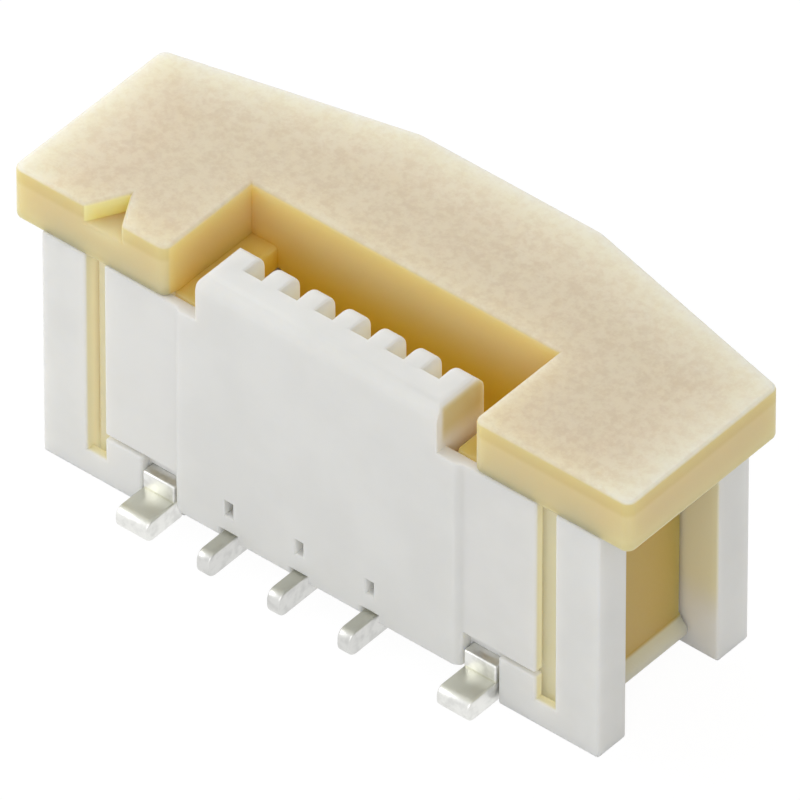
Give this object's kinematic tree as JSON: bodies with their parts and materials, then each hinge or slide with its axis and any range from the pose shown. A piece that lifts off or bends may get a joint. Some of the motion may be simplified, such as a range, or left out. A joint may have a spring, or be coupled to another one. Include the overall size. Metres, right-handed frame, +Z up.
{
  "type": "fpc connector",
  "caption": "Upright board-mounted flat-cable connector: white housing with a comb-edged slot, stamped fork contacts, two hold-downs and a lift-up locking slider.",
  "frame": {"origin": "centre of the part's footprint box on the board surface", "axes": "+X along the row of contacts towards the right end, +Y towards the rear, where the slider's finger grip bulges, +Z up from the board, the way the slider lifts and the cable leaves"},
  "size_m": [0.0088, 0.0038, 0.0039],
  "materials": {
    "housing_white": "matt moulded white liquid-crystal polymer",
    "slider_beige": "satin moulded natural beige nylon, slightly translucent",
    "contact_metal": "matt tin over stamped phosphor bronze",
    "hold_down_metal": "matt tin over stamped brass sheet"
  },
  "bodies": {
    "root": {"housing": "housing_white", "contact_1": "contact_metal", "contact_2": "contact_metal", "contact_3": "contact_metal", "contact_4": "contact_metal", "contact_5": "contact_metal", "contact_6": "contact_metal", "hold_down_left": "hold_down_metal", "hold_down_right": "hold_down_metal"},
    "slider": {"slider": "slider_beige"}
  },
  "joints": [
    {"name": "slider_lift", "type": "slide", "parent": "root", "child": "slider", "axis": [0, 0, 1], "range_m": [0, 0.0009]}
  ]
}
